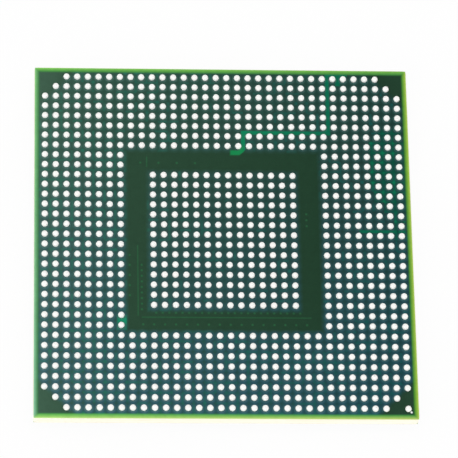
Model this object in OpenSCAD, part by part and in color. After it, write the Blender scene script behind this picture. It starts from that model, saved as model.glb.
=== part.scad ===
// Ball grid array chip package, lying on the back of its die with the solder balls up.
// Millimetres. The origin is the middle of the die's back, +Z points out through the balls,
// and the A1 corner is at +X, -Y. Rows of balls run along Y and are lettered from +X to -X.

/* [Board] */
// Width and depth of the laminate board
board_w = 35; // [34.8:0.1:36]
// Thickness of the laminate between its copper layers
board_t = 1.1; // [0.8:0.05:1.4]
// Radius of the board's four upright corners
board_corner_r = 0.3; // [0.1:0.05:0.5]

/* [Ball grid] */
// Distance between neighbouring balls
pitch = 1; // [0.96:0.01:1]
// Rings of balls round the outside
outer_rings = 8; // [6:1:9]
// Empty rings between the outside rings and the middle block
moat_rings = 2; // [1:1:3]

/* [Solder balls] */
// Diameter of a ball
ball_d = 0.6; // [0.56:0.01:0.66]
// Height of a ball over its copper land
ball_h = 0.48; // [0.44:0.01:0.5]
// Diameter of the hole in the solder mask that each ball fills
opening_d = 0.48; // [0.42:0.01:0.5]

/* [Copper and solder mask] */
// Thickness of the outer copper layers
copper_t = 0.02; // [0.015:0.005:0.03]
// Thickness of the solder mask over the copper
mask_t = 0.03; // [0.02:0.005:0.04]
// Bare strip of laminate between the mask and the board's edge
mask_setback = 0.05; // [0.03:0.01:0.15]
// Distance from the board's edge to the copper planes
copper_setback = 0.5; // [0.4:0.05:0.55]
// Diameter of a copper land under a ball
land_d = 0.6; // [0.55:0.01:0.64]
// Gap between a land and the copper plane round it
land_gap = 0.08; // [0.06:0.01:0.1]
// Width of the splits between copper planes
split_w = 0.3; // [0.15:0.05:0.35]

/* [Die] */
// Width of the silicon die
die_w = 13; // [10:0.5:13.5]
// Thickness of the silicon die
die_t = 0.78; // [0.7:0.02:0.9]
// Gap between the die and the board, filled with underfill
die_gap = 0.08; // [0.06:0.01:0.12]
// How far the underfill spreads past the die
fillet_w = 1.2; // [0.8:0.1:1.4]
// Height of the underfill up the sides of the die
fillet_h = 0.5; // [0.3:0.05:0.6]

/* [Capacitors] */
// Length of a capacitor with its end caps
cap_l = 1; // [0.9:0.05:1.1]
// Width of a capacitor
cap_w = 0.5; // [0.4:0.05:0.6]
// Height of a capacitor
cap_h = 0.5; // [0.4:0.05:0.55]
// Length of each metal end cap
cap_end = 0.25; // [0.15:0.05:0.3]
// Capacitors along each side of the die
caps_per_side = 6; // [2:1:6]
// Distance between neighbouring capacitors
cap_pitch = 2; // [1.4:0.1:2.4]
// Distance from the die's centre to the capacitors' centres
cap_ring = 10.5; // [10:0.25:12]

/* [Hidden] */
ROW_LETTERS = [
    "a", "b", "c", "d", "e", "f", "g", "h", "j", "k", "l", "m",
    "n", "p", "r", "t", "u", "v", "w", "y", "aa", "ab", "ac", "ad",
    "ae", "af", "ag", "ah", "aj", "ak", "al", "am", "an", "ap"
];

// Counts
grid_n = len(ROW_LETTERS);
core_edge = outer_rings + moat_rings;

// Heights, from the die's back at z = 0 up to the tops of the balls
die_side_z = die_t + die_gap;
board_z = die_side_z + mask_t + copper_t;
board_top_z = board_z + board_t;
land_top_z = board_top_z + copper_t;
mask_top_z = land_top_z + mask_t;
ball_centre_z = land_top_z + ball_h - ball_d / 2;

// Half widths
board_half = board_w / 2;
mask_half = board_half - mask_setback;
copper_half = board_half - copper_setback;
core_half = pitch * (grid_n / 2 - core_edge);

// Round parts smaller than a millimetre
small_fn = 24;

// Clearance of the mask round the capacitors' lands, and of the copper round that opening
opening_margin = 0.05;
plane_margin = 0.1;

// Capacitor lands reach past the end caps by this much, and the solder climbs this share of a cap
land_reach = 0.25;
solder_climb = 0.6;

// A1 marks
dot_d = 0.24;
dot_t = 0.01;
dot_xy = pitch * (grid_n - 1) / 2 + 0.29;
mark_w = 1.2;
mark_inset = 1.4;

// Distance of line k from the outside of the grid, and whether a ball sits at (row, column)
function ring_of(k) = min(k, grid_n - 1 - k);
function is_core(i, j) = min(ring_of(i), ring_of(j)) >= core_edge;
function is_outer(i, j) = min(ring_of(i), ring_of(j)) < outer_rings;
function is_left_out(i, j) = ring_of(i) + ring_of(j) <= 1 && i + j > 0;
function has_ball(i, j) = (is_core(i, j) || is_outer(i, j)) && !is_left_out(i, j);

module at_balls(row) {
    x = pitch * ((grid_n - 1) / 2 - row);
    for (column = [0:grid_n - 1]) if (has_ball(row, column))
        translate([x, pitch * (column - (grid_n - 1) / 2), 0]) children();
}

module at_outer_balls() {
    for (row = [0:grid_n - 1], column = [0:grid_n - 1])
        if (has_ball(row, column) && is_outer(row, column))
            translate([
                pitch * ((grid_n - 1) / 2 - row),
                pitch * (column - (grid_n - 1) / 2)
            ]) children();
}

module slab(half, t, r = 0) {
    linear_extrude(t) rounded_square(half, r);
}

module rounded_square(half, r) {
    if (r > 0) {
        for (a = [0, 90]) rotate(a) square([2 * half, 2 * (half - r)], center = true);
        for (x = [-1, 1], y = [-1, 1])
            translate([x, y] * (half - r)) circle(r, $fn = small_fn);
    } else {
        square(2 * half, center = true);
    }
}

// A line of constant width through points, with round corners and ends
module track(points, w) {
    for (k = [0:len(points) - 1]) translate(points[k]) circle(d = w, $fn = small_fn);
    for (k = [1:len(points) - 1]) {
        step = points[k] - points[k - 1];
        translate(points[k - 1]) rotate(atan2(step.y, step.x))
            translate([0, -w / 2]) square([norm(step), w]);
    }
}

// Takes the copper out of the inside of a bend, which the lands' gaps would leave loose
module inside_bend(x, y, to_x, to_y) {
    polygon(pitch * [[x, y], [x + 0.7 * to_x, y], [x, y + 0.7 * to_y]]);
}

// Places with no copper on the ball side: the splits between the planes, in steps of the pitch
module copper_splits() {
    top = copper_half / pitch + 0.3;
    track(pitch * [[10, top], [10, 11], [2, 11], [2, 9.2], [1.8, 8.95]], split_w);
    track(pitch * [[1.8, 8.95], [0.9, 8.95]], split_w * 1.5);
    track(pitch * [[11, top], [11, 16.05]], split_w * 1.4);
    track(pitch * [[16.05, 1], [12.4, 1]], split_w);
    translate(pitch * [10, 16.5]) square(pitch * [1, top - 16.5]);
    inside_bend(10, 11, -1, 1);
    inside_bend(2, 11, 1, -1);
    inside_bend(2, 8.95, -1, 1);
    polygon(pitch * [
        [14, 10.3], [15, 10.3], [15, 11.7], [16, 11.7], [16, 10.3], [top, 10.3],
        [top, 0.9], [16, 0.9], [16, 2.9], [15, 3.1], [14, 5]
    ]);
    translate(pitch * [-9.5, -8.15]) square(pitch * [0.95, 1.5], center = true);
}

module laminate() {
    color("#d9cfae") translate([0, 0, board_z]) slab(board_half, board_t, board_corner_r);
}

module ball_side_copper() {
    color("#2f5a3f") translate([0, 0, board_top_z]) linear_extrude(copper_t) difference() {
        square(2 * copper_half, center = true);
        copper_splits();
        at_outer_balls() circle(d = land_d + 2 * land_gap, $fn = small_fn);
    }
}

module ball_lands() {
    color("#c98a4b") translate([0, 0, board_top_z]) linear_extrude(copper_t)
        at_outer_balls() circle(d = land_d, $fn = small_fn);
}

module ball_side_mask() {
    color("#2c5440") difference() {
        translate([0, 0, board_top_z]) slab(mask_half, copper_t + mask_t);
        translate([0, 0, board_top_z]) linear_extrude(copper_t) difference() {
            square(2 * copper_half, center = true);
            copper_splits();
        }
        translate([0, 0, board_top_z]) for (row = [0:grid_n - 1])
            at_balls(row) cylinder(d = opening_d, h = 2 * (copper_t + mask_t), $fn = small_fn);
    }
}

module corner_dot() {
    color("white") translate([dot_xy, -dot_xy, mask_top_z])
        cylinder(d = dot_d, h = dot_t, $fn = small_fn);
}

// One solder ball: a neck that fills the hole in the mask, under a ball that spreads over its rim
module solder_ball() {
    translate([0, 0, land_top_z]) cylinder(d = opening_d, h = mask_t, $fn = small_fn);
    intersection() {
        translate([0, 0, ball_centre_z]) sphere(d = ball_d, $fn = small_fn);
        translate([-ball_d, -ball_d, mask_top_z]) cube(2 * ball_d);
    }
}

module ball_row(row) {
    color("#f4f2ec") at_balls(row) solder_ball();
}

// Places of the capacitors, each with its length pointing away from the die
module at_capacitors() {
    for (side = [0:3], k = [0:caps_per_side - 1])
        rotate(90 * side) translate([cap_ring, cap_pitch * (k - (caps_per_side - 1) / 2), 0]) children();
}

module capacitor_land_shapes(margin = 0) {
    at_capacitors() for (end = [-1, 1])
        translate([end * (cap_l - cap_end + land_reach) / 2, 0])
            square([cap_end + land_reach + 2 * margin, cap_w + 2 * margin], center = true);
}

module corner_mark_shape() {
    corner = board_half - mark_inset;
    polygon([[corner, -corner], [corner - mark_w, -corner], [corner, -corner + mark_w]]);
}

module die_side_copper() {
    color("#2f5a3f") translate([0, 0, board_z - copper_t]) linear_extrude(copper_t) difference() {
        square(2 * copper_half, center = true);
        square(die_w, center = true);
        capacitor_land_shapes(opening_margin + plane_margin);
        translate([board_half - mark_inset, mark_inset - board_half]) square(4 * mark_w, center = true);
    }
}

module die_side_mask() {
    color("#2c5440") translate([0, 0, die_side_z]) difference() {
        slab(mask_half, copper_t + mask_t);
        translate([0, 0, mask_t]) linear_extrude(copper_t) difference() {
            square(2 * copper_half, center = true);
            square(die_w, center = true);
            capacitor_land_shapes(opening_margin + plane_margin);
            translate([board_half - mark_inset, mark_inset - board_half]) square(4 * mark_w, center = true);
        }
        linear_extrude(copper_t + mask_t) {
            capacitor_land_shapes(opening_margin);
            corner_mark_shape();
        }
    }
}

module corner_mark() {
    color("#c9a24b") translate([0, 0, board_z - copper_t]) linear_extrude(copper_t) corner_mark_shape();
}

module die() {
    color("#6d7076") translate([-die_w / 2, -die_w / 2, 0]) cube([die_w, die_w, die_t]);
}

// The cured epoxy under the die and in a sloping fillet round it
module underfill() {
    color("#2b2f35") difference() {
        hull() {
            translate([0, 0, die_side_z - die_gap]) slab(die_w / 2 + fillet_w, die_gap, fillet_w);
            translate([0, 0, die_side_z - die_gap - fillet_h]) slab(die_w / 2 + 0.05, 0.01, 0.05);
        }
        translate([-die_w / 2, -die_w / 2, 0]) cube([die_w, die_w, die_t]);
    }
}

module capacitor_lands() {
    color("#c98a4b") translate([0, 0, board_z - copper_t]) linear_extrude(copper_t)
        capacitor_land_shapes();
}

// Solder between a land and an end cap, with a sloping fillet up the cap's end
module capacitor_solder() {
    color("#c4c6c8") at_capacitors() for (end = [0, 180]) rotate(end)
        translate([0, cap_w / 2, 0]) rotate([90, 0, 0]) linear_extrude(cap_w) polygon([
            [cap_l / 2 - cap_end, board_z - copper_t], [cap_l / 2 + land_reach, board_z - copper_t],
            [cap_l / 2 + land_reach, die_side_z], [cap_l / 2, die_side_z - solder_climb * cap_h],
            [cap_l / 2, die_side_z], [cap_l / 2 - cap_end, die_side_z]
        ]);
}

module capacitor_ceramics() {
    color("#b99a6b") at_capacitors()
        translate([cap_end - cap_l / 2, -cap_w / 2, die_side_z - cap_h])
            cube([cap_l - 2 * cap_end, cap_w, cap_h]);
}

module capacitor_end_caps() {
    color("#c4c6c8") at_capacitors() for (end = [0, 180]) rotate(end)
        translate([cap_l / 2 - cap_end, -cap_w / 2, die_side_z - cap_h]) cube([cap_end, cap_w, cap_h]);
}

laminate();
ball_side_copper();
ball_lands();
ball_side_mask();
corner_dot();
die_side_copper();
die_side_mask();
corner_mark();
die();
underfill();
capacitor_lands();
capacitor_solder();
capacitor_ceramics();
capacitor_end_caps();
for (row = [0:grid_n - 1])
    ball_row(row);
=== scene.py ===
"""Ball grid array chip package, lying on its die with the solder balls up."""
from functools import reduce
from math import radians

import bpy
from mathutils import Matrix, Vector


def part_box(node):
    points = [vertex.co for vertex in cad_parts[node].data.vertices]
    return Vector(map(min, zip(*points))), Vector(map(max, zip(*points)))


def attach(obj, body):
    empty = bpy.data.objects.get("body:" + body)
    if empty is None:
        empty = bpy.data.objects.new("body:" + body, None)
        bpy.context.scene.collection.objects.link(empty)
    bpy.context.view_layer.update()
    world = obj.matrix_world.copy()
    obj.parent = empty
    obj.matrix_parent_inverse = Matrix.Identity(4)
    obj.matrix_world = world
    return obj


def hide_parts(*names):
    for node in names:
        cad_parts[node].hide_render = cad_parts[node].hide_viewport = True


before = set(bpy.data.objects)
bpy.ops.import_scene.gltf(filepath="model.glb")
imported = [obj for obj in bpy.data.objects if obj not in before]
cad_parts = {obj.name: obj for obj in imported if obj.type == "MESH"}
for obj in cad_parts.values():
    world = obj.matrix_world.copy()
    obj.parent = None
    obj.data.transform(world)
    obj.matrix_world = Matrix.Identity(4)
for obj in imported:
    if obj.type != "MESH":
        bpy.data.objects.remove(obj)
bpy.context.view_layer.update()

MM = 0.001


def paint(code):
    """The linear colour of a paint chart code such as 284531."""
    channels = [int(code[i : i + 2], 16) / 255 for i in (0, 2, 4)]
    linear = [c / 12.92 if c <= 0.04045 else ((c + 0.055) / 1.055) ** 2.4 for c in channels]
    return (*linear, 1.0)


def put(name, data):
    """A new object in the scene."""
    thing = bpy.data.objects.new(name, data)
    bpy.context.scene.collection.objects.link(thing)
    return thing


# ---- node writing -----------------------------------------------------------


class Wire:
    """A socket that takes part in Python sums: each sum adds its Math node."""

    def __init__(self, recipe, socket):
        self.recipe, self.socket = recipe, socket

    def _sum(self, operation, *terms):
        return self.recipe.add("ShaderNodeMath", {"operation": operation}, dict(enumerate(terms)))

    def __add__(self, other):
        return self._sum("ADD", self, other)

    def __sub__(self, other):
        return self._sum("SUBTRACT", self, other)

    def __rsub__(self, other):
        return self._sum("SUBTRACT", other, self)

    def __mul__(self, other):
        return self._sum("MULTIPLY", self, other)

    def __truediv__(self, other):
        return self._sum("DIVIDE", self, other)

    def __abs__(self):
        return self._sum("ABSOLUTE", self)

    __radd__, __rmul__ = __add__, __mul__

    def larger(self, other):
        return self._sum("MAXIMUM", self, other)

    def smaller(self, other):
        return self._sum("MINIMUM", self, other)

    def cell(self):
        return self._sum("FLOOR", self)

    def within_cell(self):
        return self._sum("FRACT", self)

    def root(self):
        return self._sum("SQRT", self)


def either(*masks):
    """The strongest of several masks."""
    return reduce(Wire.larger, masks)


def distance(u, v):
    """How far a spot is from where u and v are both 0."""
    return (u * u + v * v).root()


class Recipe:
    """Writes the nodes of a finish, of the world or of a geometry tree."""

    def __init__(self, tree):
        self.tree = tree
        tree.nodes.clear()

    def add(self, kind, settings=None, sockets=None, out=0):
        """A new node. It gives one output, a list of them for a tuple of names, or None."""
        node = self.tree.nodes.new(kind)
        for key, value in (settings or {}).items():
            setattr(node, key, value)
        for key, value in (sockets or {}).items():
            if isinstance(value, Wire):
                self.tree.links.new(value.socket, node.inputs[key])
            else:
                node.inputs[key].default_value = value
        if out is None:
            return None
        if isinstance(out, tuple):
            return [Wire(self, node.outputs[name]) for name in out]
        return Wire(self, node.outputs[out])

    def grade(self, value, low, high, start=0.0, end=1.0):
        """Evenly from start at low to end at high, and level beyond them."""
        return self.add("ShaderNodeMapRange", {}, {0: value, 1: low, 2: high, 3: start, 4: end})

    def join(self, *numbers):
        """The vector of two or three numbers."""
        return self.add("ShaderNodeCombineXYZ", {}, dict(enumerate(numbers)))

    def apart(self, vector):
        """The x, y and z of a vector."""
        return self.add("ShaderNodeSeparateXYZ", {}, {0: vector}, out=("X", "Y", "Z"))

    def seen_rays(self):
        """1 for rays from the camera, a gloss or glass, where white is shown as white."""
        rays = ("Is Camera Ray", "Is Glossy Ray", "Is Transmission Ray")
        return either(*self.add("ShaderNodeLightPath", out=rays))


class Finish(Recipe):
    """A material for one surface. Its distances are in millimetres."""

    # most of a grain's values lie between these two
    GRAIN_LOW, GRAIN_HIGH = 0.3, 0.7

    def __init__(self, name):
        self.material = bpy.data.materials.new(name)
        self.material.use_nodes = True
        super().__init__(self.material.node_tree)

    def place(self):
        """The place on the piece."""
        metres = self.add("ShaderNodeTexCoord", out="Object")
        return self.add("ShaderNodeVectorMath", {"operation": "SCALE"}, {0: metres, 3: 1 / MM})

    def stretch(self, vector, x, y, z):
        settings = {"operation": "MULTIPLY"}
        return self.add("ShaderNodeVectorMath", settings, {0: vector, 1: (x, y, z)})

    def fade(self, value, low, high, start=0.0, end=1.0):
        """Smoothly from start at low to end at high, and level beyond them."""
        settings = {"interpolation_type": "SMOOTHSTEP"}
        sockets = {0: value, 1: low, 2: high, 3: start, 4: end}
        return self.add("ShaderNodeMapRange", settings, sockets)

    def tint(self, amount, under, over, how="MIX"):
        """One colour laid over another by an amount."""
        settings = {"data_type": "RGBA", "blend_type": how, "clamp_factor": True}
        return self.add("ShaderNodeMix", settings, {0: amount, 6: under, 7: over}, out=2)

    def grain(self, vector, scale, detail=3.0, roughness=0.55, distortion=0.0):
        """Cloudy noise from 0 to 1, scale lumps to the millimetre."""
        sockets = {"Vector": vector, "Scale": scale, "Detail": detail}
        sockets |= {"Roughness": roughness, "Distortion": distortion}
        return self.add("ShaderNodeTexNoise", {"noise_dimensions": "3D"}, sockets)

    def spread(self, grain, start=0.0, end=1.0):
        """A grain's values spread out from start to end."""
        return self.grade(grain, self.GRAIN_LOW, self.GRAIN_HIGH, start, end)

    def dice(self, *numbers):
        """A random number from 0 to 1 for each set of two or three whole numbers."""
        settings = {"noise_dimensions": f"{len(numbers)}D"}
        return self.add("ShaderNodeTexWhiteNoise", settings, {"Vector": self.join(*numbers)})

    def relief(self, height, depth, strength):
        """A bump from heights of 0 to 1, with depth between them."""
        sockets = {"Height": height, "Distance": depth * MM, "Strength": strength}
        return self.add("ShaderNodeBump", {}, sockets)

    def coat(self, **sockets):
        """The surface itself; a socket's name is written with _ for a space."""
        named = {key.replace("_", " "): value for key, value in sockets.items()}
        surface = self.add("ShaderNodeBsdfPrincipled", {}, named)
        self.add("ShaderNodeOutputMaterial", {}, {0: surface}, out=None)
        return self.material


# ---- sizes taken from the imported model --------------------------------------

first_low, first_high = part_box("balls_row_a")
second_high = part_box("balls_row_b")[1]
DOT_LOW, DOT_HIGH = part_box("corner_dot")

# metres
BALL_D = first_high.x - first_low.x
CROWN = first_high.z
LAND_TOP = first_low.z
PITCH = first_high.x - second_high.x

# lines of balls, counted from one side to the other
BALL_ROWS = [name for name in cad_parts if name.startswith("balls_row_")]
LINES = len(BALL_ROWS)
OUTER_LINES = 8
MOAT_LINES = 2

# steps of the pitch from the middle, which are millimetres here
GRID_HALF = (LINES - 1) / 2
MOAT_OUTER = GRID_HALF - OUTER_LINES + 0.5
MOAT_INNER = MOAT_OUTER - MOAT_LINES

# millimetres from the middle
COPPER_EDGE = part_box("ball_side_copper")[1].x / MM
MASK_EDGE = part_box("ball_side_mask")[1].x / MM


# ---- green mask of the ball side --------------------------------------------

# half the width of the field of balls, over which its colours change
FIELD_HALF = 17

# Straight bars: left, right, low and high side, then how softly the sides fade.
SPLITS = [
    (9.78, 10.17, 10.8, 17.3, 0.06),
    (1.8, 10.15, 10.75, 11.15, 0.06),
    (10.76, 11.22, 15.85, 17.3, 0.06),
    (9.9, 11.9, 16.84, 17.16, 0.06),
    (12.6, 16.9, 0.84, 1.16, 0.06),
]
SPLIT_TO_HOOK = (1.76, 2.16, 8.7, 11.1, 0.06)
HOOK = (0.75, 2.1, 8.66, 9.14, 0.1)
WINDOW = [
    (13.75, 16.15, 5.2, 10.15, 0.15),
    (14.1, 16.15, 3.95, 6.0, 0.12),
    (15.0, 16.2, 2.9, 5.0, 0.1),
    (15.85, 16.25, 0.2, 3.5, 0.1),
    (14.6, 16.8, 10.8, 11.15, 0.12),
    (14.85, 16.1, 10.0, 11.4, 0.15),
    (15.9, 16.9, 1.85, 2.1, 0.1),
]
WINDOW_FLANK = (16.0, 17.0, 3.0, 10.2, 0.2)
PATCH = (-9.85, -9.0, -8.3, -7.7, 0.1)
PATCH_SURROUND = (-9.9, -9.0, -8.9, -7.45, 0.1)
MOAT_TRACES = [
    (-7.99, -7.91, -7.5, -0.5, 0.05),
    (-7.6, 7.9, -7.69, -7.61, 0.05),
    (-7.09, -7.01, 7.4, 8.4, 0.05),
]

# Slanted corners: the bend of the track, then which way its inside lies.
SPLIT_BENDS = [(10, 11, -1, 1), (2, 11, 1, -1)]
HOOK_BEND = (2, 8.95, -1, 1)

# Rows of vias in the moat: how far off the middle, from where to where, and the step.
UPRIGHT_VIAS = [(-7.6, -7.0, -2.0, 0.55), (-8.7, -6.0, -1.0, 1.0), (7.7, 1.0, 3.0, 0.6)]
LEVEL_VIAS = [(-7.2, -6.8, 7.0, 0.6), (-8.35, -8.0, 8.0, 1.0), (7.8, -8.5, -2.0, 1.7)]


class BallSideMask(Finish):
    """Glossy green mask over the ball side's copper, with what shows through it."""

    def __init__(self):
        super().__init__("green_mask_ball_side")
        self.here = self.place()
        self.flat = self.stretch(self.here, 1, 1, 0)
        self.x, self.y, _ = self.apart(self.here)
        self.across, self.along = abs(self.x), abs(self.y)
        self.edge = self.across.larger(self.along)
        self.rightward = self.grade(self.x, -FIELD_HALF, FIELD_HALF)

        # from the middle of the nearest ball
        self.off_x, self.off_y = self.x.within_cell() - 0.5, self.y.within_cell() - 0.5

        # the empty places: the moat and the cut corners
        past_inner = self.fade(self.edge, MOAT_INNER - 0.25, MOAT_INNER + 0.25)
        self.in_moat = past_inner * self.fade(self.edge, MOAT_OUTER + 0.25, MOAT_OUTER - 0.25)
        corner = 2 * GRID_HALF - 2.6, 2 * GRID_HALF - 1.7
        self.bare = self.in_moat.larger(self.fade(self.across + self.along, *corner))

    def sides(self, left, right):
        """A colour that changes from the left side to the right side."""
        return self.tint(self.rightward, paint(left), paint(right))

    def bar(self, left, right, low, high, soft):
        """1 inside a straight-sided patch."""
        past_sides = abs(self.x - 0.5 * (left + right)) - 0.5 * (right - left)
        past_ends = abs(self.y - 0.5 * (low + high)) - 0.5 * (high - low)
        return self.fade(past_sides.larger(past_ends), soft, -soft)

    def bend(self, at_x, at_y, to_x, to_y):
        """1 in the slanted corner inside a bend."""
        run_x, run_y = (self.x - at_x) * to_x, (self.y - at_y) * to_y
        inside = self.fade(run_x.smaller(run_y), -0.05, 0.05)
        return self.fade(run_x + run_y, 0.76, 0.64) * inside

    def round_ball(self, far, near, forward=0.0):
        """1 round the middle of each ball, out to near, and 0 from far on."""
        from_ball = distance(self.off_x, self.y.within_cell() - (0.5 - forward))
        return self.fade(from_ball, far, near) * (1 - self.bare)

    def lattice_trace(self, u, v, seed, busy):
        """1 on short traces along the lines midway between the balls."""
        line = (u + 0.5).cell()
        chosen = self.fade(self.dice(line, v.cell(), seed), busy, busy - 0.02)
        return self.fade(abs(u - line), 0.16, 0.05) * chosen

    def via_row(self, u, v, at, start, stop, step):
        """1 on a row of vias that runs along v."""
        along = ((v / step).within_cell() - 0.5) * step
        via = self.fade(distance(u - at, along), 0.15, 0.05)
        return via * self.fade(v, start, start + 0.02) * self.fade(v, stop, stop - 0.02)

    def copper_free(self):
        """Masks of the splits, the hook, the window and the patch, which have no copper."""
        hook_end = self.fade(self.x - self.y, -6.98, -7.08)
        split = either(
            *[self.bar(*sides) for sides in SPLITS],
            self.bar(*SPLIT_TO_HOOK) * hook_end,
            *[self.bend(*corner) for corner in SPLIT_BENDS],
        )
        hook = either(self.bar(*HOOK) * hook_end, self.bend(*HOOK_BEND))
        window = either(*[self.bar(*sides) for sides in WINDOW], self.bar(*WINDOW_FLANK) * 0.6)
        patch = either(self.bar(*PATCH), self.bar(*PATCH_SURROUND) * 0.6)
        return split, hook, window, patch

    def over_copper(self):
        """Copper through the mask: plain in the moat and corners, bluer among the balls. Darker
        from left to right, paler at the left side and at the moat's front: painted sheen of the
        light from the front-left; the moat is also a little paler at its right end.
        """
        # painted sheen of the light from the left: paler towards the left side
        sheen_from_left = self.fade(self.x, -11, -18, 0.0, 0.45)
        # painted sheen: the moat darker from left to right and paler towards the front
        moat = self.sides("2e4e3a", "163824")
        moat = self.tint(self.grade(self.y, -FIELD_HALF, -6, 0.25, 0.0), moat, paint("2e503d"))
        moat = self.tint(sheen_from_left + self.fade(self.x, 11, 18, 0.0, 0.08), moat, paint("527561"))
        # painted sheen: the field darker from left to right as well
        field, front = self.sides("34594a", "193b35"), self.sides("325c58", "1a4a52")
        field = self.tint(self.grade(self.y, -FIELD_HALF, 6, 0.7, 0.0), field, front)
        field = self.tint(sheen_from_left, field, paint("527264"))
        return self.tint(self.bare, field, moat)

    def over_core(self, colour, split, hook, window, patch):
        """Brighter green where no copper darkens the core, with painted shade round the balls in
        the window.
        """
        split_green = self.tint(self.grade(self.x, 2, 12), paint("0c8a5e"), paint("006c50"))
        colour = self.tint(split, colour, split_green)
        glow = self.grain(self.flat, 0.7, 2.0)
        lit = self.tint(self.fade(glow, 0.42, 0.6), paint("00543f"), paint("007a54"))
        # painted shade: the window darker close round each ball
        ball_shade = self.fade(self.off_x * self.off_x + self.off_y * self.off_y, 0.45, 0.1)
        colour = self.tint(window, colour, self.tint(ball_shade, lit, paint("044a3f")))
        colour = self.tint(hook * 0.95, colour, paint("148e50"))
        return self.tint(patch * 0.95, colour, paint("16966f"))

    def round_lands(self, colour, dip, on_copper):
        """A bluer ring where the mask turns down to each land, made deeper on each ball's right
        side as painted shade, and a pale lip that is a painted glow round the bright balls.
        """
        # the land's ring, partly real and partly painted shade of the ball, stronger on its right
        # side
        land_ring_and_shade = self.round_ball(0.66, 0.4, forward=0.02)
        land_ring_and_shade = land_ring_and_shade * self.grade(abs(self.off_y) - abs(self.off_x), -0.4, 0.4, 0.6, 1.0)
        land_ring_and_shade = land_ring_and_shade * self.grade(self.off_x, -0.45, 0.45, 0.7, 1.0)
        land_ring_and_shade = land_ring_and_shade * self.grade(self.edge, 5, 11, 0.45, 0.8) * on_copper
        front, back = self.sides("3e6e86", "2c586c"), self.sides("3c6656", "2a4e49")
        colour = self.tint(land_ring_and_shade, colour, self.tint(self.grade(self.y, -15, 12), front, back))
        # painted glow: a paler lip round each ball, stronger outward
        outer = self.grade(distance(self.x, self.y), 8, 20, 0.15, 0.45)
        return self.tint(dip * outer, colour, self.sides("6c9088", "4e7c7a"))

    def next_layer(self, colour, on_copper):
        """Short traces and vias of the next layer, on the lines between the balls."""
        crowd = self.grain(self.flat, 0.22, 1.0)
        busy = self.fade(self.x + self.y, 9.0, -3.0, 0.06, 0.3)
        busy = busy + self.fade(crowd, 0.5, 0.65, 0.0, 0.3)
        busy = busy * self.fade(self.edge, 7.0, 9.0, 0.25, 1.0)
        traces = either(
            self.lattice_trace(self.x, self.y, 1.0, busy),
            self.lattice_trace(self.y, self.x, 2.0, busy),
        )
        node_x, node_y = (self.x + 0.5).cell(), (self.y + 0.5).cell()
        chosen = self.fade(self.dice(node_x, node_y, 3.0), busy * 0.4, busy * 0.4 - 0.02)
        from_node = distance(self.x - node_x, self.y - node_y)
        vias = chosen * self.fade(from_node, 0.26, 0.1) * 0.7
        wear = self.grain(self.flat, 1.6, 2.0)
        through = either(traces * 0.5, vias) * self.fade(wear, 0.35, 0.6, 0.35, 1.0)
        through = through * (1 - self.bare) * 0.7 * on_copper
        return self.tint(through, colour, self.sides("2c8a70", "086866"))

    def moat_marks(self, colour):
        """The moat's own fine lines and rows of vias."""
        marks = either(
            *[self.bar(*sides) for sides in MOAT_TRACES],
            *[self.via_row(self.x, self.y, *row) for row in UPRIGHT_VIAS],
            *[self.via_row(self.y, self.x, *row) for row in LEVEL_VIAS],
        )
        shown = marks * self.in_moat * self.grade(self.rightward, 0.0, 1.0, 0.85, 0.5)
        return self.tint(shown, colour, paint("2c6a43"))

    def rim(self, colour):
        """Past the copper, where the bare core lights up the mask: a painted glow that brightens
        outward, with painted sheen that makes the left side bluish-white and the colours cooler
        on the left than on the right.
        """
        # painted glow: brighter outward past the copper
        outward_glow = self.grade(self.edge, COPPER_EDGE, MASK_EDGE)
        outward_glow = outward_glow * self.grade(self.edge, COPPER_EDGE, MASK_EDGE, 0.25, 1.0)
        on_right, at_back = self.fade(self.x, -1, 1), self.fade(self.y, -1, 1)
        backward = self.grade(self.y, -FIELD_HALF, FIELD_HALF)
        # painted sheen: the left side's outer colour bluish-white
        left_rim_sheen = self.tint(backward, paint("9bdab4"), paint("93da8d"))
        flank_in = self.tint(on_right, paint("3c7f48"), paint("3f8e2c"))
        flank_out = self.tint(on_right, left_rim_sheen, paint("b4d656"))
        front_out, back_out = self.sides("b8ea80", "c4da74"), self.sides("90de66", "82c254")
        ends_in = self.tint(at_back, self.sides("58b852", "3f9e46"), paint("428f42"))
        ends_out = self.tint(at_back, front_out, back_out)
        on_flank = self.fade(self.across - self.along, -0.3, 0.3)
        inner = self.tint(on_flank, ends_in, flank_in)
        outer = self.tint(on_flank, ends_out, flank_out)
        past_copper = self.fade(self.edge, COPPER_EDGE - 0.08, COPPER_EDGE + 0.18)
        return self.tint(past_copper, colour, self.tint(outward_glow, inner, outer))

    def make(self):
        split, hook, window, patch = self.copper_free()
        on_copper = 1 - either(split, hook, patch, window * 0.7)
        dip = self.round_ball(0.47, 0.36)
        colour = self.over_core(self.over_copper(), split, hook, window, patch)
        colour = self.round_lands(colour, dip, on_copper)
        colour = self.next_layer(colour, on_copper)
        colour = self.rim(self.moat_marks(colour))

        # light mottling of the cured ink
        mottle = self.grain(self.here, 2.2, 4.0)
        deeper = self.tint(1.0, colour, (0.6, 0.6, 0.6, 1), "MULTIPLY")
        colour = self.tint(self.spread(mottle, 0.0, 0.3), colour, deeper)

        # the mask lies lower where there is no copper below it, and round the balls
        orange_peel = self.grain(self.here, 7.0, 3.0)
        step_down = either(split, window, patch, dip)
        height = orange_peel * 0.25 + (1 - step_down) * 0.75
        return self.coat(
            Base_Color=colour,
            Roughness=self.spread(mottle, 0.24, 0.34),
            Normal=self.relief(height, 0.012, 0.6),
            Specular_IOR_Level=0.07,
        )


# ---- the other finishes -----------------------------------------------------


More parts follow.
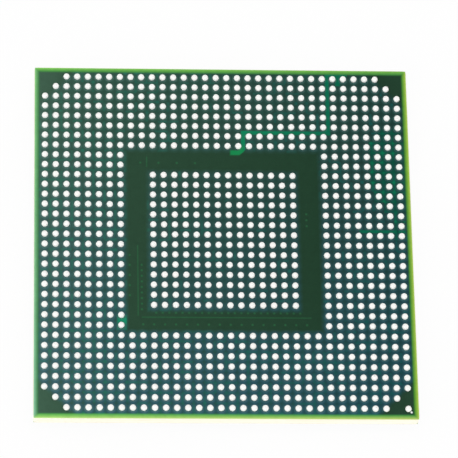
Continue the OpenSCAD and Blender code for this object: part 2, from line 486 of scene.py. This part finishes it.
def green_mask_of_die_side():
    """The same mask on the die side: plain copper below, with a brighter rim."""
    f = Finish("green_mask_die_side")
    here = f.place()
    x, y, _ = f.apart(here)
    edge = abs(x).larger(abs(y))
    # painted sheen: darker from left to right, as on the ball side
    colour = f.tint(f.grade(x, -FIELD_HALF, FIELD_HALF), paint("2c4c39"), paint("24463a"))
    weave = f.grain(f.stretch(here, 1.2, 1.2, 0), 1.0, 2.0)
    colour = f.tint(f.fade(weave, 0.4, 0.65, 0.0, 0.12), colour, paint("2d6a4b"))
    # the rim: paler green over the bare core, and brighter outward as a painted glow
    rim = f.tint(f.grade(edge, COPPER_EDGE, MASK_EDGE), paint("3c7a49"), paint("7cb75c"))
    colour = f.tint(f.fade(edge, COPPER_EDGE - 0.04, COPPER_EDGE + 0.04), colour, rim)
    mottle = f.grain(here, 2.0, 4.0)
    colour = f.tint(f.spread(mottle, 0.0, 0.15), colour, paint("1a3325"))
    return f.coat(
        Base_Color=colour,
        Roughness=f.spread(mottle, 0.26, 0.38),
        Normal=f.relief(f.grain(here, 6.0, 3.0), 0.01, 0.5),
        Specular_IOR_Level=0.2,
    )


def laminate_core():
    """Cut edge of the glass and resin core: cream, layered, with fine glass ends."""
    f = Finish("laminate_core")
    here = f.place()
    _, _, z = f.apart(here)
    first_layer, layer_t = 0.06, 0.245
    plies = f.grain(f.stretch(here, 0.25, 0.25, 9), 1.0, 2.0)
    glass_ends = f.grain(f.stretch(here, 9, 9, 26), 1.0, 3.0, 0.7)
    colour = f.tint(f.fade(plies, 0.35, 0.65), paint("fdf9ea"), paint("f9f1dc"))
    colour = f.tint(f.fade(glass_ends, 0.5, 0.75, 0.0, 0.5), colour, paint("fbf3dc"))
    off_layer = abs(((z - first_layer) / layer_t).within_cell() - 0.5)
    colour = f.tint(f.fade(off_layer, 0.06, 0.02, 0.0, 0.25), colour, paint("c2a673"))
    return f.coat(
        Base_Color=colour,
        Roughness=f.spread(glass_ends, 0.55, 0.75),
        Normal=f.relief(glass_ends, 0.015, 0.5),
        Specular_IOR_Level=0.3,
    )


def bare_metal(name, dark, light, grain, roughness, relief, stretch=None):
    """A metal whose colour, gloss and relief follow one fine grain."""
    f = Finish(name)
    here = f.stretch(f.place(), *stretch) if stretch else f.place()
    pattern = f.grain(here, *grain)
    return f.coat(
        Base_Color=f.tint(f.spread(pattern), paint(dark), paint(light)),
        Metallic=1.0,
        Roughness=f.spread(pattern, *roughness),
        Normal=f.relief(pattern, *relief),
    )


def rolled_copper():
    brushed = (0.6, 12, 1)
    grain, roughness, relief = (1.0, 3.0), (0.28, 0.42), (0.004, 0.4)
    return bare_metal("copper", "c97f55", "e3a077", grain, roughness, relief, brushed)


def gold_flash():
    grain, roughness, relief = (14.0, 3.0), (0.24, 0.36), (0.004, 0.5)
    return bare_metal("gold", "d9b25f", "ecca80", grain, roughness, relief)


def tin_plate():
    grain, roughness, relief = (24.0, 4.0, 0.65), (0.32, 0.5), (0.006, 0.6)
    return bare_metal("tin", "c9cac8", "e6e6e3", grain, roughness, relief)


def reflowed_solder():
    grain, roughness, relief = (9.0, 3.0, 0.5, 0.4), (0.2, 0.38), (0.02, 0.5)
    return bare_metal("solder", "c4c6c6", "dddfde", grain, roughness, relief)


def white_print():
    """White ink of the corner dot, thin at its rim so that the green shows through."""
    f = Finish("white_ink")
    here = f.place()
    x, y, _ = f.apart(here)
    grain = f.grain(here, 18.0, 3.0)
    colour = f.tint(f.spread(grain), paint("f6f6f1"), paint("fefefc"))
    dot_x = 0.5 * (DOT_LOW.x + DOT_HIGH.x) / MM
    dot_y = 0.5 * (DOT_LOW.y + DOT_HIGH.y) / MM
    dot_r = 0.5 * (DOT_HIGH.x - DOT_LOW.x) / MM
    thin = f.fade(distance(x - dot_x, y - dot_y), 0.55 * dot_r, dot_r)
    return f.coat(
        Base_Color=f.tint(thin, colour, paint("5f8577")),
        Roughness=f.spread(grain, 0.45, 0.6),
        Normal=f.relief(grain, 0.004, 0.5),
        Specular_IOR_Level=0.3,
    )


def ground_silicon():
    """The die's back: ground in long arcs from one side, then polished."""
    f = Finish("silicon")
    here = f.place()
    x, y, z = f.apart(here)
    wheel_x, wheel_y = 46.0, -38.0
    arc = f.join(distance(x - wheel_x, y - wheel_y) * 26.0, z * 4.0)
    scratch = f.grain(arc, 1.0, 4.0, 0.7)
    colour = f.tint(f.spread(scratch), paint("4a4d54"), paint("5c6068"))
    cloud = f.grain(here, 0.2, 2.0)
    return f.coat(
        Base_Color=f.tint(f.spread(cloud, 0.0, 0.25), colour, paint("565a70")),
        Metallic=0.85,
        Roughness=f.spread(scratch, 0.14, 0.24),
        Normal=f.relief(scratch, 0.0015, 0.5),
    )


def cured_underfill():
    """Dark resin with flow lines and pale filler specks."""
    f = Finish("underfill")
    here = f.place()
    flow = f.grain(here, 1.4, 3.0, 0.5, 0.6)
    specks = f.grain(here, 16.0, 2.0)
    colour = f.tint(f.spread(flow), paint("22262b"), paint("2f343a"))
    return f.coat(
        Base_Color=f.tint(f.fade(specks, 0.62, 0.72, 0.0, 0.5), colour, paint("43484e")),
        Roughness=f.spread(flow, 0.18, 0.34),
        Normal=f.relief(flow * 0.8 + specks * 0.2, 0.03, 0.5),
    )


def capacitor_ceramic():
    """Brown fired ceramic, a little different from one capacitor to the next."""
    f = Finish("capacitor_ceramic")
    here = f.place()
    specks = f.grain(here, 22.0, 3.0, 0.7)
    batch = f.grain(here, 0.35, 1.0)
    colour = f.tint(f.grade(batch, 0.35, 0.65), paint("8c6d4c"), paint("a3835f"))
    return f.coat(
        Base_Color=f.tint(f.fade(specks, 0.55, 0.7, 0.0, 0.5), colour, paint("bca07c")),
        Roughness=f.spread(specks, 0.42, 0.6),
        Normal=f.relief(specks, 0.006, 0.6),
        Specular_IOR_Level=0.4,
    )


def frosted_ball():
    """Solder balls with the pale frosted skin of a tin, silver and copper alloy."""
    f = Finish("solder_ball")
    here = f.place()
    x, y, _ = f.apart(here)
    frost = f.grain(here, 11.0, 3.0, 0.6, 0.3)
    colour = f.tint(f.spread(frost), paint("fafaf7"), paint("fffffd"))
    colour = f.tint(f.dice(x.cell(), y.cell()) * 0.25, colour, paint("f6f5f0"))
    # grey patches at random places on the balls
    grey_patches = f.fade(f.grain(here, 5.0, 1.0), 0.70, 0.76)
    return f.coat(
        Base_Color=f.tint(grey_patches * 0.5, colour, paint("b9bcb6")),
        Metallic=0.05,
        Roughness=f.spread(frost, 0.36, 0.5),
        Normal=f.relief(frost, 0.008, 0.5),
    )


FINISHES = {
    "laminate": laminate_core(),
    "copper": rolled_copper(),
    "mask_ball_side": BallSideMask().make(),
    "mask_die_side": green_mask_of_die_side(),
    "white_ink": white_print(),
    "gold": gold_flash(),
    "silicon": ground_silicon(),
    "underfill": cured_underfill(),
    "solder": reflowed_solder(),
    "capacitor_ceramic": capacitor_ceramic(),
    "tin": tin_plate(),
    "solder_ball": frosted_ball(),
}

# every node that isn't named here is a row of solder balls
NODE_FINISH = {
    "laminate": "laminate",
    "ball_side_copper": "copper",
    "ball_lands": "copper",
    "ball_side_mask": "mask_ball_side",
    "corner_dot": "white_ink",
    "die_side_copper": "copper",
    "die_side_mask": "mask_die_side",
    "corner_mark": "gold",
    "die": "silicon",
    "underfill": "underfill",
    "capacitor_lands": "gold",
    "capacitor_solder": "solder",
    "capacitor_ceramics": "capacitor_ceramic",
    "capacitor_end_caps": "tin",
}

for name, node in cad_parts.items():
    node.data.materials.clear()
    node.data.materials.append(FINISHES[NODE_FINISH.get(name, "solder_ball")])


# ---- solder balls -----------------------------------------------------------

BALL_SEGMENTS, BALL_RINGS = 14, 6
NECK_STARTS = -0.6  # from the ball's middle, in radii
NECK_WIDTH = 0.8  # of the ball's diameter
MOST_TURN = radians(25.7)  # of a ball about its own axis, so that neighbours differ


class BallTree(Recipe):
    """Geometry nodes that set a ball on every land of the grid."""

    def __init__(self, sizes):
        super().__init__(bpy.data.node_groups.new("ball_grid", "GeometryNodeTree"))
        face = self.tree.interface
        face.new_socket("Geometry", in_out="OUTPUT", socket_type="NodeSocketGeometry")
        self.values = {}
        for name, value in sizes.items():
            kind = "NodeSocketInt" if isinstance(value, int) else "NodeSocketFloat"
            socket = face.new_socket(name, in_out="INPUT", socket_type=kind)
            self.values[socket.identifier] = value
        self.given = dict(zip(sizes, self.add("NodeGroupInput", out=tuple(sizes))))
        self.radius = self.given["Ball diameter"] * 0.5
        self.centre = self.given["Crown height"] - self.radius
        self.x, self.y, self.z = self.apart(self.add("GeometryNodeInputPosition"))

    def more(self, a, b):
        settings = {"data_type": "FLOAT", "operation": "GREATER_THAN"}
        return self.add("FunctionNodeCompare", settings, {0: a, 1: b})

    def both(self, a, b, how="AND"):
        return self.add("FunctionNodeBooleanMath", {"operation": how}, {0: a, 1: b})

    def ball(self):
        """A dome down to the mask; the rings below it turn into the neck."""
        size = {"Segments": BALL_SEGMENTS, "Rings": BALL_RINGS, "Radius": self.radius}
        widen = self.given["Neck diameter"] / self.radius
        foot = self.given["Neck foot height"] - self.centre
        moves = {
            "Geometry": self.add("GeometryNodeMeshUVSphere", {}, size),
            "Selection": self.more(self.radius * NECK_STARTS, self.z),
            "Position": self.join(self.x * widen, self.y * widen, foot),
        }
        return self.add("GeometryNodeSetPosition", {}, moves)

    def lands(self):
        """The grid's points, without the moat and the corners, but with the first ball's."""
        pitch, lines = self.given["Pitch"], self.given["Lines"]
        span = pitch * (lines - 1.0)
        lattice = self.add("GeometryNodeMeshGrid", {}, {0: span, 1: span, 2: lines, 3: lines})
        x, y = self.x / pitch, self.y / pitch
        across, along = abs(x), abs(y)
        edge = across.larger(along)
        in_moat = self.both(
            self.more(self.given["Moat outer line"], edge),
            self.more(edge, self.given["Moat inner line"]),
        )
        corner = self.more(across + along, 2 * GRID_HALF - 1.5)
        first_ball = self.more(x - y, 2 * GRID_HALF - 0.5)
        no_ball = self.both(in_moat, self.both(corner, first_ball, "NIMPLY"), "OR")
        cut = {0: lattice, 1: no_ball}
        kept = self.add("GeometryNodeDeleteGeometry", {"domain": "POINT"}, cut)
        lift = self.join(0.0, 0.0, self.centre)
        return self.add("GeometryNodeSetPosition", {}, {"Geometry": kept, "Offset": lift})

    def finish(self):
        limits = {"Min": 0.0, "Max": MOST_TURN, "Seed": self.given["Seed"]}
        turn = self.add("FunctionNodeRandomValue", {"data_type": "FLOAT"}, limits, out=1)
        pieces = {"Points": self.lands(), "Instance": self.ball()}
        pieces["Rotation"] = self.join(0.0, 0.0, turn)
        set_down = self.add("GeometryNodeInstanceOnPoints", {}, pieces)
        solid = self.add("GeometryNodeRealizeInstances", {}, {0: set_down})
        smooth = self.add("GeometryNodeSetShadeSmooth", {}, {0: solid})
        coated = {"Geometry": smooth, "Material": FINISHES["solder_ball"]}
        done = self.add("GeometryNodeSetMaterial", {}, coated)
        self.add("NodeGroupOutput", {}, {0: done}, out=None)


def solder_balls():
    """One mesh of every ball, each with its neck down to the land."""
    grid = BallTree({
        "Lines": LINES,
        "Pitch": PITCH,
        "Ball diameter": BALL_D,
        "Crown height": CROWN,
        "Neck diameter": NECK_WIDTH * BALL_D,
        "Neck foot height": LAND_TOP,
        "Moat outer line": MOAT_OUTER,
        "Moat inner line": MOAT_INNER,
        "Seed": 7,
    })
    grid.finish()
    start = put("ball_grid_start", bpy.data.meshes.new("ball_grid_start"))
    modifier = start.modifiers.new("ball_grid", "NODES")
    modifier.node_group = grid.tree
    for identifier, value in grid.values.items():
        modifier[identifier] = value
    bpy.context.view_layer.update()
    grown = start.evaluated_get(bpy.context.evaluated_depsgraph_get())
    mesh = bpy.data.meshes.new_from_object(grown)
    start.modifiers.remove(modifier)
    bpy.data.objects.remove(start)
    return put("solder_balls", mesh)


balls = solder_balls()
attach(balls, "root")
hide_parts(*BALL_ROWS)


# ---- floor, light and camera ------------------------------------------------

WHITE = (1, 1, 1, 1)
FLOOR_REACH = 3.0
FLOOR_DROP = 0.00002
FLOOR_PAPER = (0.96, 0.96, 0.96, 1)
FLOOR_WHITE_SHARE = 0.94

SKY_AT_HORIZON, SKY_OVERHEAD = 1.68, 0.52
KEY_PLACE = Vector((-0.36, -0.46, 0.40))
KEY_WIDTH, KEY_WATTS = 0.4, 0.7

SENSOR_WIDTH, LENS = 36.0, 285.5
NEAREST_SEEN = 0.01
CAMERA_PLACE_MM = (-20.343, -130.181, 310.041)
CAMERA_TURN_DEGREES = (23.1122, -3.4511, -0.9898)


def white_floor():
    """A sheet just under the die: white to the camera, and paper that takes the shadow."""
    f = Finish("floor_paper")
    paper = f.add("ShaderNodeBsdfDiffuse", {}, {"Color": FLOOR_PAPER})
    white = f.add("ShaderNodeEmission", {}, {"Color": WHITE, "Strength": 1.0})
    shares = {0: f.seen_rays() * FLOOR_WHITE_SHARE, 1: paper, 2: white}
    mixed = f.add("ShaderNodeMixShader", {}, shares)
    f.add("ShaderNodeOutputMaterial", {}, {0: mixed}, out=None)
    corners = [(-1, -1), (1, -1), (1, 1), (-1, 1)]
    spots = [(FLOOR_REACH * a, FLOOR_REACH * b, -FLOOR_DROP) for a, b in corners]
    mesh = bpy.data.meshes.new("floor")
    mesh.from_pydata(spots, [], [(0, 1, 2, 3)])
    mesh.materials.append(f.material)
    put("floor", mesh)


def studio_sky():
    """Soft white light from all round, stronger near the horizon, and shown as white."""
    world = bpy.data.worlds.new("studio")
    world.use_nodes = True
    w = Recipe(world.node_tree)
    _, _, height = w.apart(w.add("ShaderNodeTexCoord"))
    glow = w.grade(height, 0.0, 1.0, SKY_AT_HORIZON, SKY_OVERHEAD)
    strength = glow + w.seen_rays() * (1 - glow)
    sky = w.add("ShaderNodeBackground", {}, {"Color": WHITE, "Strength": strength})
    w.add("ShaderNodeOutputWorld", {}, {0: sky}, out=None)
    bpy.context.scene.world = world


def key_light():
    """A square soft box that faces the middle of the chip."""
    lamp = bpy.data.lights.new("key", "AREA")
    lamp.shape, lamp.size, lamp.energy = "SQUARE", KEY_WIDTH, KEY_WATTS
    holder = put("key", lamp)
    holder.location = KEY_PLACE
    holder.rotation_euler = KEY_PLACE.to_track_quat("Z", "Y").to_euler()


def camera():
    lens = bpy.data.cameras.new("camera")
    lens.sensor_width, lens.lens, lens.clip_start = SENSOR_WIDTH, LENS, NEAREST_SEEN
    holder = put("camera", lens)
    holder.location = [v * MM for v in CAMERA_PLACE_MM]
    holder.rotation_euler = [radians(v) for v in CAMERA_TURN_DEGREES]
    bpy.context.scene.camera = holder


white_floor()
studio_sky()
key_light()
camera()
bpy.context.scene.view_settings.view_transform = "Standard"
